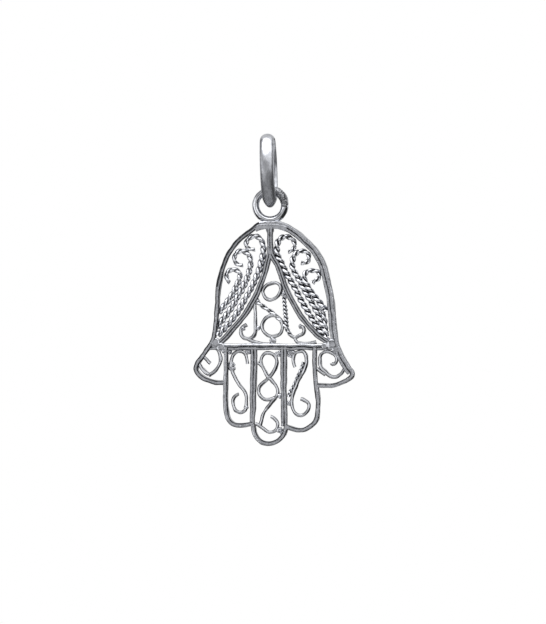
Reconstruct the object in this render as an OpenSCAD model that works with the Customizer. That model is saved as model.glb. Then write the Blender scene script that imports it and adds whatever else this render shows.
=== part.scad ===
// Silver filigree hand pendant on an oval bail.
// Millimetres, +Z up, the front of the hand towards -Y.
// The origin is the seat inside the top of the bail, where a chain runs through along X.

/* [Hand] */
// Height of the hand, from the top of its frame to the tip of the middle finger
hand_h = 22.5; // [20:0.1:24]
// Width of the outer frame wire, seen from the front
frame_w = 0.45; // [0.42:0.01:0.5]
// Depth of the outer frame wire, front to back
frame_d = 1.15; // [1.1:0.05:1.4]
// Depth of the flat wires inside the frame
inner_d = 1; // [0.9:0.05:1.05]
// Width of the two ribs between the palm and the petals
rib_w = 0.56; // [0.5:0.01:0.6]
// Width of the thin wires that line the petals and the thumbs
rim_w = 0.34; // [0.3:0.01:0.36]
// Width of each of the two wires between one finger and the next
wall_w = 0.34; // [0.32:0.01:0.36]
// Height of the bar that the fingers hang from
bar_w = 0.62; // [0.5:0.01:0.65]

/* [Filigree] */
// Width of the twisted wire in the petals, seen from the front
twist_w = 0.58; // [0.5:0.01:0.6]
// Width of the two twisted wires in the palm
palm_w = 0.46; // [0.4:0.01:0.48]
// Width of the rolled wire that is bent into scrolls
fine_w = 0.36; // [0.32:0.01:0.38]
// Depth of the twisted wires, front to back
twist_d = 0.75; // [0.6:0.05:0.85]

/* [Ring] */
// Outer diameter of the ring on top of the hand
ring_od = 3.65; // [3.6:0.01:3.75]
// Thickness of the ring's round wire
ring_wire = 0.72; // [0.65:0.01:0.73]
// How far the ring is let into the frame and soldered
ring_sink = 0.27; // [0.2:0.01:0.4]

/* [Bail] */
// Outer height of the bail
bail_h = 7.4; // [7.2:0.1:7.8]
// Outer depth of the bail, front to back
bail_d = 5.2; // [5:0.1:5.6]
// Width of the bail's band, seen from the front
band_w = 1.4; // [1.2:0.05:1.4]
// Thickness of the band
band_t = 0.5; // [0.4:0.05:0.6]
// Thickness at the foot, where the band's two ends lap and are soldered
lap_t = 1; // [0.9:0.05:1.1]
// Lean of the bail to the left, in degrees
lean = 2.2; // [1:0.1:4]

/* [Hidden] */

// Degrees of bend between two corners along the edge of a wire
arc_step = 9;
// Number of facets on a preview circle; the circles themselves are true ones
$fn = 72;

// The tables below are drawn for a hand of this height, and hand_h scales them
drawn_h = 22.5;
drawn = hand_h / drawn_h;
// How far two wires that lie side by side run into each other, as solder joins them
overlap = 0.05;
// Depth of the spots of solder
solder_d = twist_d + 0.1;

// End radius of the bail's outer and inner oval, as a share of the oval's width
outer_share = 0.37;
inner_share = 0.4;
// Height over which the band narrows to its foot, and the radius of the foot's tip, as a share
// of the band's width
taper_h = 1.35;
tip_share = 0.26;

// The ring hangs by its inside on the two edges of the bail's foot, with a running gap
run_gap = 0.04;
ring_mid = (ring_od - ring_wire) / 2;
ring_in = ring_od / 2 - ring_wire;
perch_x = band_w / 2;
perch_slack = 0.05;
foot_z = band_t + lap_t - bail_h;
hand_x = -foot_z * sin(lean) + perch_slack;
ring_z = foot_z * cos(lean) + run_gap - sqrt(pow(ring_in, 2) - pow(perch_x + perch_slack, 2));
hinge_z = ring_z + sqrt(pow(ring_mid, 2) - pow(perch_x, 2));
crown_z = ring_z - ring_od / 2 + ring_sink - frame_w / 2;

// A table row is [x, z, heading]: a place on the middle line of a wire, measured from the
// crown of the hand, and the way the wire runs there in degrees, 0 to the right and 90 up.
// A wire bends from one row to the next in two smooth arcs.

// Outer frame, from the crown down each side and under the thumb
frames = [
    [[0, -0.02, 180], [-1, -0.12, 201], [-2.2, -0.95, 216], [-4.4, -3.5, 245],
        [-5.15, -6.4, 261], [-5.4, -9.45, 266], [-5.8, -11.75, 250], [-6.75, -13.25, 234],
        [-7.45, -14.5, 265], [-7.15, -15.15, 314], [-6.1, -15.8, 341], [-4.4, -15.95, 2]],
    [[0, -0.02, 0], [1.15, -0.07, -18], [2.55, -0.85, -37], [5, -3.4, -60],
        [5.95, -6.3, -78], [6.35, -9.3, -86], [6.9, -12.65, -69], [7.85, -14.4, -60],
        [8.25, -15.05, -95], [7.55, -15.75, -150], [6, -16.25, -178], [4.6, -16.2, 176]]];
// The frame is doubled on its inside, by a thin wire: left or right side, the last row it
// follows, and which side of the frame wire it lies on
linings = [[0, 1, 1], [1, 8, -1]];
// Ribs, from the crown down the stem and out to the two corners of the palm
ribs = [
    [[-0.02, -0.1, -90], [-0.02, -2.6, -93], [-0.5, -4.7, -105], [-1.5, -7.4, -118],
        [-3.25, -10.05, -130], [-5.3, -12.2, -140]],
    [[0.02, -0.1, -90], [0.02, -2.6, -84], [0.75, -4.2, -68], [1.65, -6.65, -68],
        [2.85, -8.9, -60], [4.6, -11.05, -48], [6, -12.1, -38]]];
bar = [[[-6, -12.38, 0], [6.7, -12.38, 0]]];
// Walls between the fingers, two wires side by side, and the outer wires round their tips
walls = [
    [[-1.8, -12.4, -90], [-1.88, -20.2, -90]],
    [[-1.48, -12.4, -90], [-1.6, -18.2, -91], [-1.7, -20.5, -84]],
    [[1.2, -12.4, -90], [1.26, -20.3, -90]],
    [[1.52, -12.4, -90], [1.6, -20.5, -87]]];
tips = [
    [[-4.42, -12.4, -90], [-4.48, -18, -90], [-3.2, -20.22, 0], [-1.75, -20.05, 12]],
    [[-1.7, -20.2, -88], [-0.2, -22.05, 0], [1.65, -20.2, 85]],
    [[4.47, -12.4, -90], [4.5, -14.9, -88], [4.8, -17.9, -88], [4.2, -20.2, -140],
        [3.05, -20.7, 180], [1.6, -20.3, 157]]];

// Plumes of twisted wire in the petals, each from its curl down to its foot
plumes = [
    [[-1.5, -2.65, 190], [-2.4, -2.05, 85], [-1.6, -1.3, 5], [-0.7, -2.6, -90],
        [-1.2, -4.9, -110], [-2.5, -7.6, -119], [-3.9, -9.75, -128], [-5.3, -11.25, -137]],
    [[-2.75, -4.2, 190], [-3.6, -3.5, 88], [-2.9, -2.8, 0], [-1.95, -3.9, -90],
        [-2.25, -5.3, -108], [-3.05, -7, -116], [-3.95, -8.55, -125], [-5.35, -10.5, -125]],
    [[-4.1, -5.95, 150], [-4.4, -5.2, 85], [-3.75, -4.65, 5], [-3.05, -5.3, -90],
        [-3.55, -6.6, -113], [-5.2, -9, -127]],
    [[1.8, -2.9, 5], [2.43, -2.15, 92], [1.6, -1.33, 180], [0.63, -2.5, -90],
        [1.3, -4.4, -68], [2.55, -6.6, -63], [3.9, -9.1, -57], [5.75, -11.75, -54]],
    [[3.1, -4, -15], [3.9, -3.5, 90], [3.2, -2.8, 180], [2.2, -4.2, -90],
        [2.88, -5.7, -63], [4.22, -8.1, -61], [5.65, -11, -66]],
    [[4.2, -6, 45], [4.95, -5.2, 90], [4.1, -4.75, 180], [3.42, -5.4, -90],
        [4, -6.7, -54], [5.6, -8.8, -52]],
    [[4.95, -8.5, -50], [5.42, -9.4, -78], [5.6, -11.3, -88]]];

// Twisted wires in the palm, one aslant and one upright
palm_ropes = [
    [[-1.4, -7.8, -30], [0.1, -8.9, -40], [1.4, -10.1, -48]],
    [[1.4, -7.1, -88], [1.6, -9.8, -86], [2.1, -11.25, -45]]];
// Scrolls of rolled wire in the palm, the fingers and the thumbs
scrolls = [
    [[-1.6, -7.9, -85], [-1.45, -10.4, -88], [-2.2, -11.6, 180], [-2.9, -10.8, 90],
        [-2.3, -10.2, 20]],
    [[2, -11.15, -50], [2.7, -11.35, 30], [3.45, -10.75, 90], [3.05, -10.35, 180]],
    [[2.5, -11.4, -80], [2.95, -12, -10], [4.6, -11.85, 15]],
    [[-2.2, -11.55, -60], [-1.5, -11.95, -10], [0.2, -12.2, -20]],
    [[-2.3, -14.1, 95], [-3.05, -12.8, 180], [-3.95, -14, -90], [-3.3, -15.8, -62],
        [-2.35, -17.7, -88], [-2.95, -18.95, 180], [-3.75, -18, 90], [-3.2, -17.1, 20]],
    [[-0.7, -14.5, 125], [-0.25, -13, 0], [0.66, -13.85, -90], [-0.18, -15.45, -138],
        [-1.15, -16.8, -90], [-0.22, -17.7, 0], [0.44, -17.5, 35]],
    [[-1.3, -13.95, -30], [-0.65, -14.6, -56], [-0.1, -15.45, -46], [0.75, -16.8, -88],
        [0.05, -18.05, -130], [-1, -20.2, -105]],
    [[-1.5, -20.1, -20], [-0.58, -20.66, -35], [-0.05, -20.92, 0], [0.74, -20.15, 92],
        [0.1, -19.4, 168]],
    [[2.5, -14.4, 115], [2.5, -13.1, 60], [3.1, -12.85, 0], [3.6, -13.8, -95],
        [2.6, -16.3, -115], [2.15, -17.9, -88], [3, -19.2, 0], [3.85, -18.25, 90],
        [3.1, -17.6, 165]],
    [[3.3, -13.9, -105], [2.4, -16.1, -115], [1.85, -17.4, -100]],
    [[-5.65, -12.4, -20], [-4.95, -13.6, -90], [-5.35, -14.6, -125], [-6.15, -15.3, -135]],
    [[-6, -14.05, 140], [-6.7, -13.4, 140]],
    [[-7.2, -14, -60], [-6.15, -15.15, -28]],
    [[6.1, -14, -60], [6.65, -13.8, 75], [6, -12.95, 155], [5.3, -12.95, 215],
        [5.05, -14.1, -85], [5.7, -15.05, -45], [6.5, -15.35, 3], [7.05, -15.05, 40],
        [7.45, -14.5, 62]],
    [[4.75, -14.55, -42], [5.6, -15.2, -35]]];
// Round loops in the palm: x and z of the middle, and the radius of the middle line
loops = [[0.15, -6.8, 0.92], [0.22, -10.28, 1.08]];
// Solder that fills the corner under the crown, on both sides of the stem
crown_fill = [[-1.5, -0.62, 28], [0, -0.36, 0], [1.6, -0.6, -26]];
// Solder that fills the corners where three wires meet: x, z and radius
corners = [[0, -2.85, 0.3], [-5.45, -11.9, 0.42], [-4.95, -12.3, 0.3], [6.35, -12.1, 0.45],
    [5.8, -12.2, 0.36]];
// Spots of solder on the filigree: x, z and radius
spots = [
    [-2.75, -10.55, 0.3], [-1.4, -7.75, 0.32], [1.4, -7.1, 0.3],
    [-1.2, -10.5, 0.22], [0.25, -11.75, 0.34], [-4.1, -12.9, 0.25], [-2.2, -12.85, 0.3],
    [2.1, -13.05, 0.4], [0.85, -13.1, 0.3], [5.2, -8.5, 0.3], [-2.4, -18.4, 0.22],
    [1, -17.3, 0.25], [1.9, -18, 0.25], [3.05, -10.35, 0.22], [0.95, -20.7, 0.3]];

// Unit vector along a heading
function way(heading) = [cos(heading), sin(heading)];
// Degrees from one heading to another, between -180 and 180
function turn(from, to) = let (d = (to - from) % 360) d > 180 ? d - 360 : d < -180 ? d + 360 : d;
// Middle of the smooth bend between two rows, where its two arcs meet
function meeting(a, b) =
    let (out = way(a.z), in = way(b.z), gap = [b.x - a.x, b.y - a.y],
        square_term = 2 * (1 - out * in), line_term = 2 * gap * (out + in),
        reach = square_term < 0.0001 ? gap * gap / line_term
            : (sqrt(pow(line_term, 2) + 4 * square_term * gap * gap) - line_term)
                / (2 * square_term))
    ([a.x, a.y] + [b.x, b.y] + reach * (out - in)) / 2;
// Rows along the arc that leaves row a along its heading and ends at point b
function arc(a, b) =
    let (chord = b - [a.x, a.y], half = turn(a.z, atan2(chord.y, chord.x)),
        steps = max(1, ceil(abs(2 * half) / arc_step)))
    [for (i = [1:steps])
        let (part = i / steps,
            reach = abs(half) < 0.01 ? part : sin(half * part) / sin(half),
            at = [a.x, a.y] + norm(chord) * reach * way(a.z + half * part))
        [at.x, at.y, a.z + 2 * half * part]];
// Rows along the two arcs from row a to row b
function bends(a, b) =
    let (first = arc(a, meeting(a, b))) concat(first, arc(first[len(first) - 1], [b.x, b.y]));
// Rows along a whole wire
function line(rows) =
    concat([rows[0]], [for (i = [1:len(rows) - 1]) each bends(rows[i - 1], rows[i])]);
// Point on the edge of a wire, beside a row of its middle line
function beside(row, shift) = [row.x, row.y] * drawn + shift * way(row.z + 90);

// A flat wire, standing on edge, on its middle line or shifted to one side of it
module wire(rows, width, shift = 0) {
    middle = line(rows);
    last = len(middle) - 1;
    polygon(concat([for (i = [0:last]) beside(middle[i], shift + width / 2)],
        [for (i = [last:-1:0]) beside(middle[i], shift - width / 2)]));
}

// Shapes drawn in the front view, given a depth and put in the middle of the hand
module upright(depth)
    rotate([90, 0, 0]) linear_extrude(height = depth, center = true) children();

module outer_frame() color("silver") upright(frame_d) {
    for (rows = frames) wire(rows, frame_w);
    for (rows = tips) wire(rows, frame_w);
}

module inner_frame() color("silver") upright(inner_d) {
    for (lining = linings) wire([for (i = [0:lining.y]) frames[lining.x][i]], rim_w,
        lining.z * ((frame_w + rim_w) / 2 - overlap));
    for (rows = ribs) wire(rows, rib_w);
    for (rows = walls) wire(rows, wall_w);
    for (rows = bar) wire(rows, bar_w);
    wire(crown_fill, rim_w);
    for (spot = corners) translate([spot.x, spot.y] * drawn) circle(spot.z);
}

module filigree() color("gainsboro") upright(twist_d) {
    for (rows = plumes) wire(rows, twist_w);
    for (rows = palm_ropes) wire(rows, palm_w);
    for (rows = scrolls) wire(rows, fine_w);
    for (loop = loops) translate([loop.x, loop.y] * drawn) difference() {
        circle(loop.z * drawn + fine_w / 2);
        circle(loop.z * drawn - fine_w / 2);
    }
}

module solder() color("silver") upright(solder_d)
    for (spot = spots) translate([spot.x, spot.y] * drawn) circle(spot.z);

module top_ring() color("silver") translate([0, 0, ring_z - crown_z]) rotate([90, 0, 0])
    rotate_extrude() translate([ring_mid, 0]) circle(d = ring_wire);

module hand() translate([hand_x, 0, crown_z]) {
    outer_frame();
    inner_frame();
    filigree();
    solder();
    top_ring();
}

// An oval of four arcs, as wide and high as given; a share of its width is its ends' radius
module oval(width, height, share) {
    end_r = share * width;
    end_z = height / 2 - end_r;
    side_r = (pow(width / 2, 2) + pow(end_z, 2) - pow(end_r, 2)) / (width - 2 * end_r);
    for (end = [-1, 1]) translate([0, end * end_z]) circle(end_r);
    intersection() {
        translate([side_r - width / 2, 0]) circle(side_r);
        translate([width / 2 - side_r, 0]) circle(side_r);
        square([width, 2 * end_z * side_r / (side_r - end_r)], center = true);
    }
}

// A straight bar with round ends
module round_bar(width, height) {
    square([width, height - width], center = true);
    for (end = [-1, 1]) translate([0, end * (height - width) / 2]) circle(d = width);
}

// The band seen from the front: round at the top, and narrowing to the lapped foot
module band_front() {
    top_z = (bail_h - band_w) / 2;
    taper_z = taper_h - bail_h / 2;
    translate([0, top_z]) circle(d = band_w);
    translate([-band_w / 2, taper_z]) square([band_w, top_z - taper_z]);
    translate([0, taper_z]) oval(band_w, 2 * taper_h, tip_share);
}

module bail() color("silver") rotate([0, -lean, 0]) translate([0, 0, band_t - bail_h / 2]) {
    hole_h = bail_h - band_t - lap_t;
    intersection() {
        rotate([90, 0, 90]) linear_extrude(height = 2 * band_w, center = true) difference() {
            oval(bail_d, bail_h, outer_share);
            translate([0, (lap_t - band_t) / 2])
                oval(bail_d - 2 * band_t, hole_h, inner_share);
        }
        rotate([90, 0, 0]) linear_extrude(height = 2 * bail_d, center = true) band_front();
        linear_extrude(height = 2 * bail_h, center = true) round_bar(band_w, bail_d);
    }
}

bail();
hand();
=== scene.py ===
"""A silver filigree pendant in the outline of an open hand, hanging from an oval bail.

The solids hold the sizes. This script makes each soldered part of the pendant again as the
wire that it is: half-round band, round ring wire, rolled flat wire, twisted rope and solder.
"""

import math

import bmesh
import bpy
from mathutils import Matrix, Vector, noise


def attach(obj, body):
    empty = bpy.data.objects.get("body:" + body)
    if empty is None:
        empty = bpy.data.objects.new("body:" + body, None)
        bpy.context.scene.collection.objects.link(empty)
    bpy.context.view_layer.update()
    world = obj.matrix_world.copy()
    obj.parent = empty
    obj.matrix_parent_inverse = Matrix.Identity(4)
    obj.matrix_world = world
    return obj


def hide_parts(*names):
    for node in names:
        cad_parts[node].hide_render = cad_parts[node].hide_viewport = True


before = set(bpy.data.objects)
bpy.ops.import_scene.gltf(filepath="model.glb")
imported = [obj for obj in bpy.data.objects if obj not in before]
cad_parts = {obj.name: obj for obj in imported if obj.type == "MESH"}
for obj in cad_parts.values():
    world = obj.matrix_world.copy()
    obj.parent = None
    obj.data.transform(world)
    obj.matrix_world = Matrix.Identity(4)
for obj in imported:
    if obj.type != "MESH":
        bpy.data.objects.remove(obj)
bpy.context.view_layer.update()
noise.seed_set(1)

# Bail: an oval loop of half-round silver band that the chain runs through. Its two ends lap at
# the foot, where they are soldered and filed into one thick saddle for the ring to ride on.

MM = 0.001
BAIL_HEIGHT, BAIL_DEPTH, BAND_WIDTH = 7.4, 5.2, 1.4
BAND_THICK, FOOT_THICK, BAND_EDGE = 0.5, 1.0, 0.16
BAIL_LEAN = math.radians(2.2)
# End radius of the bail's outer and inner oval, as a share of the oval's width
OUTER_SHARE, INNER_SHARE = 0.37, 0.4
# Height over which the band narrows to its foot, and the same share for the oval of that taper
FOOT_TAPER, TIP_SHARE = 1.35, 0.26
# How round the band's inside and its edges are, from 0 for square to 1 for round
INSIDE_ROUND, EDGE_ROUND = 0.5, 0.8
BAND_SIDES, BAIL_STEPS = 28, 144
# Painted shade down the front: how far under the seat it starts, over what height, and how dark
SHADE_START, SHADE_LENGTH, SHADE_MOST = 1.5, 5, 0.8
# Sizes of the duller patches in the metal, and of the long and short waves that bending leaves
PATCH_SIZE, LONG_WAVE, SHORT_WAVE = 0.5, 1.3, 0.45


class Signal:
    """A node's output socket. Reckoning with it adds the Math nodes that do so."""

    def __init__(self, paint, socket):
        self.paint, self.socket = paint, socket

    def maths(self, operation, *values):
        return self.paint.add("ShaderNodeMath", {"operation": operation}, dict(enumerate(values)))

    def __add__(self, other):
        return self.maths("ADD", self, other)

    def __sub__(self, other):
        return self.maths("SUBTRACT", self, other)

    def __rsub__(self, other):
        return self.maths("SUBTRACT", other, self)

    def __mul__(self, other):
        return self.maths("MULTIPLY", self, other)

    __radd__, __rmul__ = __add__, __mul__


class Paint:
    """The nodes of a material, or of the world, and the shader that they feed."""

    def __init__(self, owner, shader):
        owner.use_nodes = True
        self.owner, self.tree = owner, owner.node_tree
        self.shader = self.tree.nodes[shader]

    def add(self, kind, settings=None, inputs=None, output=0):
        """A node with these settings and these values or links on its sockets."""
        node = self.tree.nodes.new(kind)
        for name, value in (settings or {}).items():
            setattr(node, name, value)
        self.feed(node, inputs or {})
        return Signal(self, node.outputs[output])

    def feed(self, node, inputs):
        for name, value in inputs.items():
            if isinstance(value, Signal):
                self.tree.links.new(value.socket, node.inputs[name])
            else:
                node.inputs[name].default_value = value

    def place(self, stretch=(1, 1, 1)):
        """Object coordinates, in metres, stretched along each axis."""
        spot = self.add("ShaderNodeTexCoord", output="Object")
        return self.add("ShaderNodeMapping", inputs={"Vector": spot, "Scale": stretch})

    def noise(self, size, detail=2, stretch=(1, 1, 1)):
        """Soft noise from 0 to 1, with lumps of about this size in millimetres."""
        where = {"Vector": self.place(stretch), "Scale": 1 / (size * MM), "Detail": detail}
        return self.add("ShaderNodeTexNoise", inputs=where)

    def blend(self, share, first, second):
        """A colour between two colours."""
        settings = {"data_type": "RGBA"}
        return self.add("ShaderNodeMix", settings, {0: share, 6: first, 7: second}, output=2)


def silver(name, bright, dull, sheen, grain, relief, stretch=(1, 1, 1), shade_and_tarnish_colour=None, detail=1):
    """Polished silver: bright metal with duller patches, and a fine relief from the finishing.

    The shade and tarnish colour darkens a wire where its own float attribute says so. It is
    mostly painted shade, on edges, in grooves and down the bail's front, with some real tarnish.
    """
    paint = Paint(bpy.data.materials.new(name), "Principled BSDF")
    patches = paint.noise(PATCH_SIZE)
    marks = paint.noise(grain, detail=detail, stretch=stretch)
    colour = paint.blend(patches, (*bright, 1), (*dull, 1))
    rough = sheen + 0.12 * (patches - 0.5) + 0.08 * (marks - 0.5)
    # Painted shade, with some real tarnish: darker and rougher where the wire's attribute is high
    if shade_and_tarnish_colour:
        shade_and_tarnish = paint.add("ShaderNodeAttribute", {"attribute_name": "shade_and_tarnish"}, output="Fac")
        shade_and_tarnish = shade_and_tarnish * (0.5 + patches)
        colour = paint.blend(shade_and_tarnish, colour, (*shade_and_tarnish_colour, 1))
        rough = rough + 0.25 * shade_and_tarnish
    bump = {"Strength": 1.0, "Distance": relief * MM, "Height": marks}
    normal = paint.add("ShaderNodeBump", inputs=bump)
    paint.feed(paint.shader, {"Base Color": colour, "Roughness": rough, "Normal": normal,
                              "Metallic": 1.0})
    return paint.owner


def piece(bm, name, body, node, material, smooth=55, uneven=0.0):
    """A finished mesh as one piece on a body, in place of a solid of the frame.

    uneven is how far, in millimetres, handwork leaves it off its drawn line.
    """
    for v in bm.verts:
        stray = noise.noise_vector(v.co / (LONG_WAVE * MM))
        stray += 0.4 * noise.noise_vector(v.co / (SHORT_WAVE * MM))
        v.co += Vector((stray.x, 0.5 * stray.y, stray.z)) * uneven * MM
    bmesh.ops.recalc_face_normals(bm, faces=bm.faces)
    mesh = bpy.data.meshes.new(name)
    bm.to_mesh(mesh)
    bm.free()
    mesh.shade_smooth()
    mesh.set_sharp_from_angle(angle=math.radians(smooth))
    mesh.materials.append(material)
    made = bpy.data.objects.new(name, mesh)
    bpy.context.scene.collection.objects.link(made)
    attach(made, body)
    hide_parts(node)


def sweep(bm, loop, steps, closed=False):
    """Draws a loop of edges along a path of matrices, as wire is drawn, and closes its ends."""
    bmesh.ops.transform(bm, matrix=steps[0], verts=list({v for e in loop for v in e.verts}))
    start = loop
    for before, after in zip(steps, steps[1:]):
        grown = bmesh.ops.extrude_edge_only(bm, edges=loop)["geom"]
        verts = [g for g in grown if isinstance(g, bmesh.types.BMVert)]
        loop = [g for g in grown if isinstance(g, bmesh.types.BMEdge) and g.is_boundary]
        bmesh.ops.transform(bm, matrix=after @ before.inverted(), verts=verts)
    if closed:
        ends = {v for e in start + loop for v in e.verts}
        bmesh.ops.remove_doubles(bm, verts=list(ends), dist=steps[0].median_scale * 0.01)
    else:
        bmesh.ops.holes_fill(bm, edges=start + loop)


def circle(bm, sides):
    """A ring of edges round the local Y axis, with no corner on the X axis."""
    turn = Matrix.Rotation(math.radians(90), 4, "X") @ Matrix.Rotation(math.pi / sides, 4, "Z")
    verts = bmesh.ops.create_circle(bm, segments=sides, radius=1, matrix=turn)["verts"]
    return verts, list({e for v in verts for e in v.link_edges})


def oval(width, height, share, angle):
    """How far the edge of an oval of four arcs is from its middle, at an angle from its width."""
    end_r = share * width
    end_z = height / 2 - end_r
    side_r = (width ** 2 / 4 + end_z ** 2 - end_r ** 2) / (width - 2 * end_r)
    side_y = side_r - width / 2
    across, up = abs(math.cos(angle)), abs(math.sin(angle))
    if up * side_y * end_r > across * end_z * side_r:
        return up * end_z + math.sqrt(end_r ** 2 - (across * end_z) ** 2)
    return -across * side_y + math.sqrt(side_r ** 2 - (up * side_y) ** 2)


def band_half(z):
    """Half the width of the band at a height: round at the top, and narrowing to the foot."""
    half = BAND_WIDTH / 2
    over, under = z + half - BAND_THICK, BAND_THICK - BAIL_HEIGHT + FOOT_TAPER - z
    if over > 0:
        return math.sqrt(max(0, half ** 2 - over ** 2))
    if under > 0:
        low, high = 0, math.pi / 2
        for _ in range(20):
            middle = (low + high) / 2
            rise = oval(BAND_WIDTH, 2 * FOOT_TAPER, TIP_SHARE, middle) * math.sin(middle)
            low, high = (middle, high) if rise < under else (low, middle)
        return oval(BAND_WIDTH, 2 * FOOT_TAPER, TIP_SHARE, low) * math.cos(low)
    return half


def bail_steps(count):
    """Where the band's section stands, once round the oval, before the bail leans."""
    steps = []
    hole_height = BAIL_HEIGHT - BAND_THICK - FOOT_THICK
    for i in range(count + 1):
        angle = 2 * math.pi * i / count
        reach = oval(BAIL_DEPTH - 2 * BAND_THICK, hole_height, INNER_SHARE, angle)
        inner = Vector((0, reach * math.cos(angle),
                        reach * math.sin(angle) + (FOOT_THICK - BAND_THICK) / 2))
        outer_angle = math.atan2(inner.z, inner.y)
        reach = oval(BAIL_DEPTH, BAIL_HEIGHT, OUTER_SHARE, outer_angle)
        outer = Vector((0, reach * math.cos(outer_angle), reach * math.sin(outer_angle)))
        outward = outer - inner
        along = Vector((1, 0, 0)).cross(outward).normalized()
        turned = Matrix((Vector((BAND_WIDTH / 2, 0, 0)), along, outward)).transposed().to_4x4()
        middle = Matrix.Translation((0, 0, BAND_THICK - BAIL_HEIGHT / 2))
        steps.append(middle @ Matrix.Translation(inner) @ turned)
    return steps


bm = bmesh.new()
verts, loop = circle(bm, BAND_SIDES)
share = BAND_EDGE / BAND_THICK
for v in verts:
    # Half-round band: a high dome outside, low edges, and a nearly flat inside
    dome = max(0, v.co.z)
    flat = min(0, v.co.z)
    v.co.z = share + (1 - share) * dome + share * math.copysign(abs(flat) ** INSIDE_ROUND, flat)
    v.co.x = math.copysign(abs(v.co.x) ** EDGE_ROUND, v.co.x)
shade_and_tarnish = bm.verts.layers.float.new("shade_and_tarnish")
sweep(bm, loop, bail_steps(BAIL_STEPS), closed=True)
for v in bm.verts:
    half = band_half(v.co.z)
    v.co.x = max(-half, min(half, v.co.x))
    # Painted shade: the front is painted darker, and made rougher, further below the seat
    v[shade_and_tarnish] = min(SHADE_MOST, max(0, (-v.co.z - SHADE_START) / SHADE_LENGTH)) if v.co.y < 0 else 0
lean = Matrix.Scale(MM, 4) @ Matrix.Rotation(-BAIL_LEAN, 4, "Y")
bmesh.ops.transform(bm, matrix=lean, verts=bm.verts)
bmesh.ops.remove_doubles(bm, verts=bm.verts, dist=0.004 * MM)
bail_silver = silver("bail_silver", (0.82, 0.835, 0.88), (0.36, 0.37, 0.4), 0.3, 0.35, 0.03,
                     stretch=(1, 1, 0.4), shade_and_tarnish_colour=(0.26, 0.266, 0.285))
piece(bm, "bail_band", "bail", "bail", bail_silver, smooth=70)

# Top ring: a jump ring of round wire that the hand hangs by. It is let into the top of the frame
# and soldered, and a low ridge of solder stays on its right shoulder, where the ring was closed.

RING_OUTER, RING_WIRE, RING_SINK, FRAME_WIDTH = 3.65, 0.72, 0.27, 0.45
RING_SIDES, RING_STEPS = 24, 120
# Running gap between the ring and the two edges of the bail's foot, and its slack sideways
RUN_GAP, PERCH_SLACK = 0.04, 0.05
foot_z = BAND_THICK + FOOT_THICK - BAIL_HEIGHT
ring_inner = RING_OUTER / 2 - RING_WIRE
hand_x = -foot_z * math.sin(BAIL_LEAN) + PERCH_SLACK
ring_z = (foot_z * math.cos(BAIL_LEAN) + RUN_GAP
          - math.sqrt(ring_inner ** 2 - (BAND_WIDTH / 2 + PERCH_SLACK) ** 2))
crown_z = ring_z - RING_OUTER / 2 + RING_SINK - FRAME_WIDTH / 2
ring_middle = Vector((hand_x, 0, ring_z))


def lump(bm, middle, size, seed, rough, flat=1.0):
    """A bead of solder: a ball drawn out to a size, with an uneven skin and flattened faces."""
    made = bmesh.ops.create_icosphere(bm, subdivisions=4, radius=1)["verts"]
    for v in made:
        v.co *= 1 + rough * noise.noise(1.5 * v.co + Vector((3 * seed, 0, 0)))
        v.co.y = math.copysign(abs(v.co.y) ** flat, v.co.y)
    stand = Matrix.Translation(Vector(middle) * MM) @ Matrix.Diagonal((*(Vector(size) * MM), 1))
    bmesh.ops.transform(bm, matrix=stand, verts=made)


bm = bmesh.new()
_, loop = circle(bm, RING_SIDES)
out = Matrix.Translation(((RING_OUTER - RING_WIRE) / 2, 0, 0))
upright = Matrix.Rotation(math.radians(90), 4, "X")
steps = []
for i in range(RING_STEPS + 1):
    spin = Matrix.Rotation(2 * math.pi * i / RING_STEPS, 4, "Y")
    steps.append(Matrix.Scale(MM, 4) @ Matrix.Translation(ring_middle) @ spin @ out @ upright
                 @ Matrix.Scale(RING_WIRE / 2, 4))
sweep(bm, loop, steps, closed=True)
wire_silver = silver("wire_silver", (0.86, 0.877, 0.925), (0.68, 0.694, 0.735), 0.16, 0.3, 0.006)
piece(bm, "top_ring", "hand", "hand", wire_silver, smooth=70, uneven=0.05)

# Beads that run into one ridge of solder: degrees round the ring, distance from its middle, and
# radius. They are a little deeper, front to back, than they are wide.
BLOB_DEPTH = 1.1
BLOBS = [[70, 1.52, 0.42], [61, 1.53, 0.43], [52, 1.5, 0.44], [43, 1.5, 0.43], [34, 1.5, 0.44],
         [25, 1.48, 0.42], [16, 1.47, 0.4], [7, 1.47, 0.38], [-2, 1.46, 0.36]]
bm = bmesh.new()
for i, (angle, reach, radius) in enumerate(BLOBS):
    out = Vector((math.cos(math.radians(angle)), 0, math.sin(math.radians(angle))))
    lump(bm, ring_middle + reach * out, (radius, radius * BLOB_DEPTH, radius), i, rough=0.12)
solder_silver = silver("solder_silver", (0.5, 0.51, 0.54), (0.12, 0.123, 0.13), 0.35, 0.3, 0.012,
                       detail=2)
piece(bm, "ring_solder", "hand", "hand", solder_silver, smooth=80)

# Outer frame: flat wire set on edge and bent by hand round the palm and the two thumbs, then on
# round each finger tip. Every wire is a table of places on its middle line, [x, z, heading], in
# millimetres from the crown and degrees, and it bends from one row to the next in two arcs.

FRAME_DEPTH = 1.15
UNEVEN = 0.07
# Step along a flat wire from one section to the next
WIRE_PACE = 0.12
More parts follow.
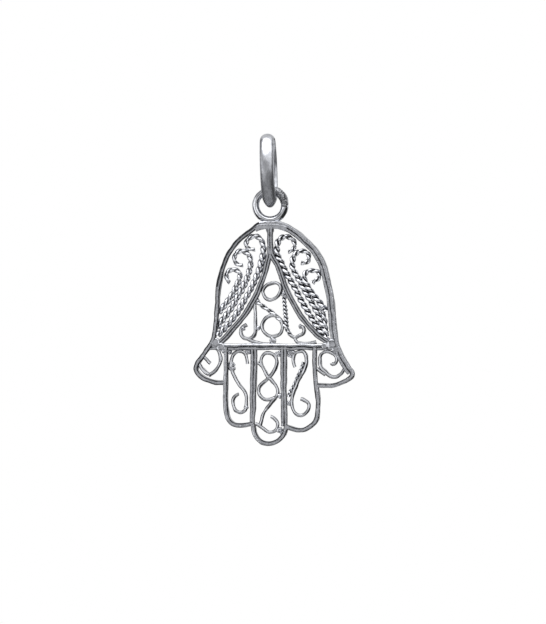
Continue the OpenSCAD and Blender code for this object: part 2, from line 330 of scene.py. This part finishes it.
# Share of the painted shade and tarnish that stays on the flat of a wire's side, how near the
# middle of its depth that flat reaches, and how softly it fades into the bright strip
SIDE_SHADE_AND_TARNISH, SIDE_REACH, SHADE_AND_TARNISH_FADE = 0.2, 0.25, 0.2
FRAMES = [
    [[0, -0.02, 180], [-1, -0.12, 201], [-2.2, -0.95, 216], [-4.4, -3.5, 245],
     [-5.15, -6.4, 261], [-5.4, -9.45, 266], [-5.8, -11.75, 250], [-6.75, -13.25, 234],
     [-7.45, -14.5, 265], [-7.15, -15.15, 314], [-6.1, -15.8, 341], [-4.4, -15.95, 2]],
    [[0, -0.02, 0], [1.15, -0.07, -18], [2.55, -0.85, -37], [5, -3.4, -60],
     [5.95, -6.3, -78], [6.35, -9.3, -86], [6.9, -12.65, -69], [7.85, -14.4, -60],
     [8.25, -15.05, -95], [7.55, -15.75, -150], [6, -16.25, -178], [4.6, -16.2, 176]]]
# Lengths of the frame, with the bright strip's reach and offset for flat_wire, and painted shade
# beyond the strip: bright along the top of the crown's left half, a narrow strip inside a dark
# painted edge at the upper left, a wider one along the middle of the lower left, and a broad one
# all down the right
FRAME_BRIGHT_STRIPS = [[FRAMES[0][:2], 1.0, -0.58], [FRAMES[0][1:5], 0.25, 0.2],
                [FRAMES[0][4:], 0.36, 0.0], [FRAMES[1], 0.56, 0.14]]
TIPS = [
    [[-4.42, -12.4, -90], [-4.48, -18, -90], [-3.2, -20.22, 0], [-1.75, -20.05, 12]],
    [[-1.7, -20.2, -88], [-0.2, -22.05, 0], [1.65, -20.2, 85]],
    [[4.47, -12.4, -90], [4.5, -14.9, -88], [4.8, -17.9, -88], [4.2, -20.2, -140],
     [3.05, -20.7, 180], [1.6, -20.3, 157]]]
# How far off the middle the bright strip of each tip lies, leaving wider painted shade on one side
TIP_SHIFTS = -0.12, -0.12, 0.12


def way(heading):
    """The unit vector along a heading in the front view."""
    return Vector((math.cos(math.radians(heading)), 0, math.sin(math.radians(heading))))


def turn(start, end):
    """Degrees from one heading to another, between -180 and 180."""
    return (end - start + 180) % 360 - 180


def bend(spot, heading, end, pace):
    """Places along the arc that leaves a spot along its heading and ends at another spot."""
    chord = end - spot
    half = turn(heading, math.degrees(math.atan2(chord.z, chord.x)))
    swing = math.radians(half)
    length = chord.length if abs(half) < 0.01 else chord.length * swing / math.sin(swing)
    count = max(1, math.ceil(length / pace))
    places = []
    for i in range(1, count + 1):
        part = i / count
        reach = part if abs(half) < 0.01 else math.sin(swing * part) / math.sin(swing)
        at = spot + chord.length * reach * way(heading + half * part)
        places.append((at, heading + 2 * half * part, length / count))
    return places


def trail(rows, pace):
    """Places along a wire: its middle point, its heading and its length so far."""
    spots = [(Vector((x, 0, z)), heading) for x, z, heading in rows]
    places = [(*spots[0], 0)]
    for (spot, heading), (next_spot, next_heading) in zip(spots, spots[1:]):
        leave, arrive, gap = way(heading), way(next_heading), next_spot - spot
        square, level = 2 * (1 - leave.dot(arrive)), 2 * gap.dot(leave + arrive)
        if square < 0.0001:
            reach = gap.length_squared / level
        else:
            reach = (math.sqrt(level ** 2 + 4 * square * gap.length_squared) - level) / (2 * square)
        meet = (spot + next_spot + reach * (leave - arrive)) / 2
        first = bend(spot, heading, meet, pace)
        second = bend(meet, first[-1][1], next_spot, pace)
        for at, facing, step in first + second:
            places.append((at, facing, places[-1][2] + step))
    return places


def join(bm, part):
    """Adds one mesh to another."""
    scrap = bpy.data.meshes.new("scrap")
    part.to_mesh(scrap)
    part.free()
    bm.from_mesh(scrap)
    bpy.data.meshes.remove(scrap)


def stand(at, heading):
    """The matrix that stands a wire's section at a place of the hand, with Y along the wire."""
    across, along = way(heading + 90), way(heading)
    turned = Matrix((across, along, Vector((0, 1, 0)))).transposed().to_4x4()
    middle = Vector((hand_x, 0, crown_z)) + at
    return Matrix.Scale(MM, 4) @ Matrix.Translation(middle) @ turned


def flat_wire(bm, rows, width, depth, shift=0.0, nose=0.6, edge=0.65, sides=20, bright_reach=0.5,
              off=0.0):
    """Rolled wire on edge. Its front and back are flat where edge is low, and round where it is 1.

    The bright strip reaches as far as its given reach to each side of a line that is off the
    wire's middle, to its left, both in shares of half the width. Beyond the strip the wire is
    painted darker, painted shade with some real tarnish, and less so on the flat of a side.
    """
    part = bmesh.new()
    shade_and_tarnish = part.verts.layers.float.new("shade_and_tarnish")
    verts, loop = circle(part, sides)
    for v in verts:
        across, front = (math.copysign(abs(c) ** edge, c) for c in (v.co.x, v.co.z))
        # Painted shade, with some real tarnish, beyond the bright strip towards the edges
        v[shade_and_tarnish] = min(1, max(0, (abs(across - off) - bright_reach) / SHADE_AND_TARNISH_FADE))
        if abs(v.co.z) < SIDE_REACH:
            v[shade_and_tarnish] *= SIDE_SHADE_AND_TARNISH
        straight = math.copysign((depth - nose * width) / 2, v.co.z)
        v.co = Vector((across * width / 2, 0, front * nose * width / 2 + straight))
    sweep(part, loop, [stand(at + shift * way(heading + 90), heading)
                       for at, heading, _ in trail(rows, WIRE_PACE)])
    join(bm, part)


bm = bmesh.new()
for rows, bright_reach, off in FRAME_BRIGHT_STRIPS:
    flat_wire(bm, rows, FRAME_WIDTH, FRAME_DEPTH, bright_reach=bright_reach, off=off)
frame_silver = silver("frame_silver", (0.78, 0.797, 0.848), (0.4, 0.41, 0.44), 0.18, 0.3, 0.035,
                      shade_and_tarnish_colour=(0.035, 0.037, 0.041), detail=2)
piece(bm, "outer_frame", "hand", "hand", frame_silver, smooth=70, uneven=UNEVEN)

bm = bmesh.new()
for rows, off in zip(TIPS, TIP_SHIFTS):
    flat_wire(bm, rows, FRAME_WIDTH, FRAME_DEPTH, bright_reach=0.45, off=off)
piece(bm, "finger_tips", "hand", "hand", frame_silver, smooth=70, uneven=UNEVEN)

# Inner frame: the thin wire that doubles the frame at the crown and down the right side, the two
# ribs round the palm, the bar under it, and the two wires side by side between the fingers.

INNER_DEPTH, RIB_WIDTH, RIM_WIDTH, WALL_WIDTH = 1.0, 0.56, 0.34, 0.34
# How far the lining runs into the frame, and the two wires of a rib into each other
OVERLAP, RIB_LAP = 0.05, 0.02
# The frame wire that the lining follows, the last row that it follows, and the side it lies on
LININGS = [[0, 1, 1], [1, 8, -1]]
RIBS = [
    [[-0.02, -0.1, -90], [-0.02, -2.6, -93], [-0.5, -4.7, -105], [-1.5, -7.4, -118],
     [-3.25, -10.05, -130], [-5.3, -12.2, -140]],
    [[0.02, -0.1, -90], [0.02, -2.6, -84], [0.75, -4.2, -68], [1.65, -6.65, -68],
     [2.85, -8.9, -60], [4.6, -11.05, -48], [6, -12.1, -38]]]
BAR = [[-6, -12.38, 0], [6.7, -12.38, 0]]
# The bar's two wires, and a thin wire between them painted dark as the shadow line, painted
# shade: width, depth, shift upwards, how round they are, and how far the bright strip reaches
BAR_WIRES = [[0.32, 1.02, 0.17, 1.0, 0.8], [0.28, 1.02, -0.18, 0.6, 0.5],
             [0.24, 0.98, 0.01, 0.6, -0.2]]
WALLS = [
    [[-1.8, -12.4, -90], [-1.88, -20.2, -90]],
    [[-1.48, -12.4, -90], [-1.6, -18.2, -91], [-1.7, -20.5, -84]],
    [[1.2, -12.4, -90], [1.26, -20.3, -90]],
    [[1.52, -12.4, -90], [1.6, -20.5, -87]]]

bm = bmesh.new()
for side, last, inward in LININGS:
    flat_wire(bm, FRAMES[side][:last + 1], RIM_WIDTH, INNER_DEPTH,
              shift=inward * ((FRAME_WIDTH + RIM_WIDTH) / 2 - OVERLAP))
piece(bm, "frame_lining", "hand", "hand", frame_silver, smooth=70, uneven=UNEVEN)

bm = bmesh.new()
for rows in RIBS:
    for side in (-1, 1):
        flat_wire(bm, rows, RIB_WIDTH / 2 + RIB_LAP, INNER_DEPTH,
                  shift=side * (RIB_WIDTH / 4 - RIB_LAP / 2), bright_reach=0.4)
piece(bm, "palm_ribs", "hand", "hand", frame_silver, smooth=70, uneven=UNEVEN)

bm = bmesh.new()
for width, depth, shift, roundness, bright_reach in BAR_WIRES:
    flat_wire(bm, BAR, width, depth, shift=shift, nose=roundness, edge=roundness, bright_reach=bright_reach)
piece(bm, "finger_bar", "hand", "hand", frame_silver, smooth=70, uneven=UNEVEN)

bm = bmesh.new()
for rows in WALLS:
    flat_wire(bm, rows, WALL_WIDTH, INNER_DEPTH, bright_reach=0.45)
piece(bm, "finger_walls", "hand", "hand", frame_silver, smooth=70, uneven=UNEVEN)

# Petal ropes: two strands twisted together and rolled a little flat, then curled at one end.
# Three plumes fill each petal, and a fourth length packs the right one down to its corner.

TWIST_WIDTH, TWIST_DEPTH, TWIST_PITCH = 0.68, 0.8, 1.4
# Length over which a plume thickens from its curled end, and how thin that end is
CURL_LENGTH, CURL_THIN = 4, 0.66
# Radius of a strand and its distance from the rope's middle, as shares of the rope's width, and
# how much pressing the two together changes both
STRAND_SHARE, STRAND_OFFSET, PRESSING = 0.27, 0.23, 0.13
STRAND_SIDES, GROOVE_FADE = 8, 0.4
LEFT_PLUMES = [
    [[-1.5, -2.65, 190], [-2.4, -2.05, 85], [-1.6, -1.3, 5], [-0.7, -2.6, -90],
     [-1.2, -4.9, -110], [-2.5, -7.6, -119], [-3.9, -9.75, -128], [-5.3, -11.25, -137]],
    [[-2.75, -4.2, 190], [-3.6, -3.5, 88], [-2.9, -2.8, 0], [-1.95, -3.9, -90],
     [-2.25, -5.3, -108], [-3.05, -7, -116], [-3.95, -8.55, -125], [-5.35, -10.5, -125]],
    [[-4.1, -5.95, 150], [-4.4, -5.2, 85], [-3.75, -4.65, 5], [-3.05, -5.3, -90],
     [-3.55, -6.6, -113], [-5.2, -9, -127]]]
RIGHT_PLUMES = [
    [[1.8, -2.9, 5], [2.43, -2.15, 92], [1.6, -1.33, 180], [0.63, -2.5, -90],
     [1.3, -4.4, -68], [2.55, -6.6, -63], [3.9, -9.1, -57], [5.75, -11.75, -54]],
    [[3.1, -4, -15], [3.9, -3.5, 90], [3.2, -2.8, 180], [2.2, -4.2, -90],
     [2.88, -5.7, -63], [4.22, -8.1, -61], [5.65, -11, -66]],
    [[4.2, -6, 45], [4.95, -5.2, 90], [4.1, -4.75, 180], [3.42, -5.4, -90],
     [4, -6.7, -54], [5.6, -8.8, -52]],
    [[4.95, -8.5, -50], [5.42, -9.4, -78], [5.6, -11.3, -88]]]
# Name, plumes, groove and pressed
PETALS = [["left_petal_ropes", LEFT_PLUMES, -0.05, 0.6],
          ["right_petal_ropes", RIGHT_PLUMES, 0.05, 0.35]]


def rope(bm, rows, width, depth, pitch, pressed, groove, thin=1.0, steps_a_turn=14):
    """Two strands wound round each other and pressed together, thinner along the first curl.

    groove is how far out of the groove the darkening reaches, in shares of a strand's radius. It
    is painted shade between the strands, with some real tarnish.
    """
    places = trail(rows, pitch / steps_a_turn)
    strand = width * (STRAND_SHARE + PRESSING * pressed)
    offset = width * (STRAND_OFFSET - PRESSING * pressed)
    for half_turn in (0, math.pi):
        part = bmesh.new()
        shade_and_tarnish = part.verts.layers.float.new("shade_and_tarnish")
        verts, loop = circle(part, STRAND_SIDES)
        for v in verts:
            # Painted shade in the groove between the strands, with some real tarnish
            v[shade_and_tarnish] = min(1, max(0, (groove - v.co.x) / GROOVE_FADE))
            v.co = v.co * strand + Vector((offset, 0, 0))
        steps = []
        for at, heading, length in places:
            size = thin + (1 - thin) * min(1, length / CURL_LENGTH)
            flatten = Matrix.Diagonal((size, 1, size * depth / width, 1))
            twist = Matrix.Rotation(half_turn - 2 * math.pi * length / pitch, 4, "Y")
            steps.append(stand(at, heading) @ flatten @ twist)
        sweep(part, loop, steps)
        join(bm, part)


rope_silver = silver("rope_silver", (0.92, 0.937, 0.98), (0.78, 0.795, 0.84), 0.17, 0.1, 0.001,
                     shade_and_tarnish_colour=(0.035, 0.036, 0.04))
for name, plumes, groove, pressed in PETALS:
    bm = bmesh.new()
    for rows in plumes:
        rope(bm, rows, TWIST_WIDTH, TWIST_DEPTH, TWIST_PITCH, pressed, groove, thin=CURL_THIN)
    piece(bm, name, "hand", "hand", rope_silver, smooth=80, uneven=UNEVEN)

# Scrolls: smooth rolled wire, bent into the loops, hooks and S shapes that fill the palm, the three
# fingers and the two thumbs. Two lengths in the palm and one in the right finger are twisted. The
# two loops in the palm are closed, the upper one egg-shaped and the lower one round.

# Width and pitch of the two twisted wires in the palm, of which the one aslant is wound more
# loosely, then the width of the scrolls and of the finger's twisted wire, and that wire's pitch
ROPE_WIDTH, ROPE_PITCH = 0.5, 0.8
DIAGONAL_PITCH = 2.2 * ROPE_PITCH
FINE_WIDTH, FINE_PITCH = 0.34, 0.9
SCROLL_SIDES, SCROLL_UNEVEN = 16, 1.5 * UNEVEN
PALM_DIAGONAL = [[-1.4, -7.82, -32], [0.1, -8.88, -37], [1.3, -10.05, -47], [1.8, -10.8, -60]]
PALM_ROPE = [[1.4, -7.1, -88], [1.6, -9.8, -86], [2.1, -11.25, -45]]
PALM_SCROLLS = [
    [[-1.6, -7.9, -85], [-1.45, -10.4, -88], [-2.2, -11.6, 180], [-2.9, -10.8, 90],
     [-2.3, -10.2, 20]],
    [[2, -11.15, -50], [2.7, -11.35, 30], [3.45, -10.75, 90], [3.05, -10.35, 180]],
    [[2.5, -11.4, -80], [2.95, -12, -10], [4.6, -11.85, 15]],
    [[-2.2, -11.55, -60], [-1.5, -11.95, -10], [0.2, -12.2, -20]],
    [[1, -6.22, 125], [-0.22, -6.15, 215], [-0.62, -7.34, 305], [0.6, -7.41, 35], [1, -6.22, 125]],
    [[1.25, -10.3, 90], [-0.81, -10.3, -90], [1.25, -10.3, 90]]]
FINGER_SCROLLS = [
    [[-2.3, -14.1, 95], [-3.05, -12.8, 180], [-3.95, -14, -90], [-3.3, -15.8, -62],
     [-2.35, -17.7, -88], [-2.95, -18.95, 180], [-3.75, -18, 90], [-3.2, -17.1, 20]],
    [[-0.7, -14.5, 125], [-0.25, -13, 0], [0.66, -13.85, -90], [-0.18, -15.45, -138],
     [-1.15, -16.8, -90], [-0.22, -17.7, 0], [0.44, -17.5, 35]],
    [[-1.3, -13.95, -30], [-0.65, -14.6, -56], [-0.1, -15.45, -46], [0.75, -16.8, -88],
     [0.05, -18.05, -130], [-1, -20.2, -105]],
    [[-1.5, -20.1, -20], [-0.58, -20.66, -35], [-0.05, -20.92, 0], [0.74, -20.15, 92],
     [0.1, -19.4, 168]],
    [[2.5, -14.4, 115], [2.5, -13.1, 60], [3.1, -12.85, 0], [3.6, -13.8, -95],
     [2.6, -16.3, -115], [2.15, -17.9, -88], [3, -19.2, 0], [3.85, -18.25, 90],
     [3.1, -17.6, 165]]]
FINGER_ROPE = [[3.3, -13.9, -105], [2.4, -16.1, -115], [1.85, -17.4, -100]]
THUMB_SCROLLS = [
    [[-5.65, -12.4, -20], [-4.95, -13.6, -90], [-5.35, -14.6, -125], [-6.15, -15.3, -135]],
    [[-6, -14.05, 140], [-6.7, -13.4, 140]],
    [[-7.2, -14, -60], [-6.15, -15.15, -28]],
    [[6.1, -14, -60], [6.65, -13.8, 75], [6, -12.95, 155], [5.3, -12.95, 215],
     [5.05, -14.1, -85], [5.7, -15.05, -45], [6.5, -15.35, 3], [7.05, -15.05, 40],
     [7.45, -14.5, 62]],
    [[4.75, -14.55, -42], [5.6, -15.2, -35]]]

bm = bmesh.new()
rope(bm, PALM_ROPE, ROPE_WIDTH, TWIST_DEPTH, ROPE_PITCH, 0.3, 0.05, steps_a_turn=12)
rope(bm, PALM_DIAGONAL, ROPE_WIDTH, INNER_DEPTH, DIAGONAL_PITCH, 0.55, 0.1)
piece(bm, "palm_ropes", "hand", "hand", rope_silver, smooth=80, uneven=UNEVEN)

for name, scrolls in (("palm_scrolls", PALM_SCROLLS), ("finger_scrolls", FINGER_SCROLLS),
                      ("thumb_scrolls", THUMB_SCROLLS)):
    bm = bmesh.new()
    for rows in scrolls:
        flat_wire(bm, rows, FINE_WIDTH, TWIST_DEPTH, nose=1.0, edge=1.0, sides=SCROLL_SIDES,
                  bright_reach=0.42)
    if name == "finger_scrolls":
        rope(bm, FINGER_ROPE, FINE_WIDTH, TWIST_DEPTH, FINE_PITCH, 0.5, 0.05, steps_a_turn=10)
    piece(bm, name, "hand", "hand", rope_silver, smooth=80, uneven=SCROLL_UNEVEN)

# Solder: silver solder that runs flat into the corner under the crown and into the corners where
# the ribs, the bar and the frame meet, and small uneven spots that hold each scroll to its
# neighbour.

CROWN_FILL = [[-1.5, -0.62, 28], [0, -0.32, 0], [1.6, -0.6, -26]]
CROWN_WIDTH, CROWN_DEPTH = 0.5, FRAME_DEPTH + 0.03
# Each corner and spot is its x, z and radius, in millimetres from the crown
CORNERS = [[-5.5, -12, 0.5], [-4.95, -12.4, 0.42], [-4.5, -12.75, 0.34], [6.2, -12.1, 0.5],
           [5.5, -12.35, 0.34], [6.6, -12.6, 0.4]]
SPOTS = [[0.02, -0.62, 0.42], [0.02, -3, 0.34], [-3.85, -14.45, 0.33], [-2.75, -10.55, 0.24],
         [-1.4, -7.75, 0.32], [1.4, -7.1, 0.3], [-1.2, -10.5, 0.22], [0.25, -11.75, 0.34],
         [-4.1, -12.9, 0.25], [-2.2, -12.85, 0.3], [2.1, -13.05, 0.4], [0.85, -13.1, 0.3],
         [5.2, -8.5, 0.3], [-2.4, -18.4, 0.22], [1, -17.3, 0.25], [1.9, -18, 0.25],
         [3.05, -10.35, 0.22], [0.95, -20.7, 0.3], [-3.88, -14.15, 0.3], [1.35, -21.05, 0.3]]
# Name, places, half the depth, how rough the skin is, and how round the front is
SOLDER = [["corner_solder", CORNERS, 0.57, 0.1, 0.12], ["solder_spots", SPOTS, 0.43, 0.35, 0.3]]
SOLDER_SPREAD = 1.04

bm = bmesh.new()
flat_wire(bm, CROWN_FILL, CROWN_WIDTH, CROWN_DEPTH, nose=0.3, edge=0.4, bright_reach=1.0)
piece(bm, "crown_fill", "hand", "hand", frame_silver, smooth=70, uneven=UNEVEN)

for name, places, half, rough, flat in SOLDER:
    bm = bmesh.new()
    for i, (x, z, radius) in enumerate(places):
        size = radius * SOLDER_SPREAD, half, radius * SOLDER_SPREAD
        lump(bm, (hand_x + x, 0, crown_z + z), size, i, rough, flat)
    piece(bm, name, "hand", "hand", frame_silver, smooth=80)

# Floor and lights: a plain pale surface under the hanging pendant, three square soft boxes aimed at
# its middle, and the room that the silver mirrors, which the camera itself sees as plain white.

FLOOR_Z, FLOOR_RADIUS = -100 * MM, 80 * MM
# Name, spot in millimetres, width in millimetres and power
LIGHTS = [["top_box", (-60, -120, 320), 260, 0.37], ["left_box", (-330, -160, 60), 200, 0.08],
          ["right_box", (320, 60, 40), 160, 0.05]]
PENDANT_MIDDLE = 0, 0, -15
bm = bmesh.new()
bmesh.ops.create_circle(bm, cap_ends=True, segments=96, radius=FLOOR_RADIUS,
                        matrix=Matrix.Translation((0, 0, FLOOR_Z)))
floor_mesh = bpy.data.meshes.new("floor")
bm.to_mesh(floor_mesh)
bm.free()
floor = bpy.data.objects.new("floor", floor_mesh)
bpy.context.scene.collection.objects.link(floor)
floor_paint = Paint(bpy.data.materials.new("pale_floor"), "Principled BSDF")
floor_paint.feed(floor_paint.shader, {"Base Color": (0.9, 0.9, 0.9, 1), "Roughness": 0.8})
floor_mesh.materials.append(floor_paint.owner)


def soft_light(name, spot, aim, size, power):
    """A square soft box at a spot, turned to an aim, both in millimetres."""
    data = bpy.data.lights.new(name, "AREA")
    data.shape, data.size, data.energy = "SQUARE", size * MM, power
    light = bpy.data.objects.new(name, data)
    spot, aim = Vector(spot) * MM, Vector(aim) * MM
    light.location = spot
    light.rotation_euler = (aim - spot).to_track_quat("-Z", "Y").to_euler()
    bpy.context.scene.collection.objects.link(light)


for name, spot, size, power in LIGHTS:
    soft_light(name, spot, PENDANT_MIDDLE, size, power)

# Soft boxes and walls of the room that the silver mirrors: the way to each one, how far it
# spreads in degrees, how soft its edge is, and its brightness
ROOM_GREY = 0.02
BOXES = [[(0, -1, 0), 14, 7, 0.6], [(-0.6, -0.75, -0.1), 20, 6, 1.35],
         [(0.5, -0.82, 0.22), 15, 6, 1.4], [(0.09, -0.41, 0.91), 38, 8, 1.6],
         [(-0.7, -0.5, 0.5), 25, 15, 0.4], [(0, 0.75, 0.65), 42, 8, 0.7],
         [(0, -0.75, -0.66), 24, 8, 0.36], [(0, 1, 0), 15, 8, 0.4],
         [(0.81, 0.59, 0.15), 24, 9, 1.0], [(-0.81, 0.59, 0), 26, 9, 0.8]]

world = bpy.data.worlds.new("studio")
bpy.context.scene.world = world
room = Paint(world, "Background")
outlook = room.add("ShaderNodeTexCoord", output="Generated")
glow = ROOM_GREY
for facing, spread, edge, grey in BOXES:
    facing = Vector(facing).normalized()
    near = room.add("ShaderNodeVectorMath", {"operation": "DOT_PRODUCT"}, {0: outlook, 1: facing},
                    output="Value")
    fade = {"Value": near, "From Min": math.cos(math.radians(spread + edge)),
            "From Max": math.cos(math.radians(spread - edge)), "To Max": grey}
    box = room.add("ShaderNodeMapRange", {"interpolation_type": "SMOOTHSTEP"}, fade)
    glow = box.maths("MAXIMUM", glow, box)
seen = room.add("ShaderNodeLightPath", output="Is Camera Ray")
white = room.add("ShaderNodeMix", {"data_type": "FLOAT"}, {0: seen, 2: glow, 3: 1.0})
room.feed(room.shader, {"Color": white})

# Camera: a long lens a little to the right of the front and nearly level with the pendant. It is
# aimed so that the seat of the bail falls on the same pixel as in the photo.

PHOTO = 546, 624
PIXELS_A_MM = 10
ORIGIN_PIXEL = 267.5, 138.6
CAMERA_TURN, CAMERA_RISE, CAMERA_FAR = math.radians(4.5), math.radians(0.5), 700

right = Vector((math.cos(CAMERA_TURN), math.sin(CAMERA_TURN), 0))
back = Vector((math.sin(CAMERA_TURN) * math.cos(CAMERA_RISE),
               -math.cos(CAMERA_TURN) * math.cos(CAMERA_RISE), math.sin(CAMERA_RISE)))
up = back.cross(right)
shift_right, shift_down = PHOTO[0] / 2 - ORIGIN_PIXEL[0], PHOTO[1] / 2 - ORIGIN_PIXEL[1]
aim = (right * shift_right - up * shift_down) / PIXELS_A_MM
lens = bpy.data.cameras.new("camera")
lens.sensor_width = 36
lens.lens = lens.sensor_width * CAMERA_FAR * PIXELS_A_MM / PHOTO[1]
lens.clip_start, lens.clip_end = 0.01, 20
camera = bpy.data.objects.new("camera", lens)
camera.location = (aim + back * CAMERA_FAR) * MM
camera.rotation_euler = Matrix((right, up, back)).transposed().to_euler()
bpy.context.scene.collection.objects.link(camera)
bpy.context.scene.camera = camera
bpy.context.scene.view_settings.view_transform = "Standard"

bpy.context.view_layer.update()
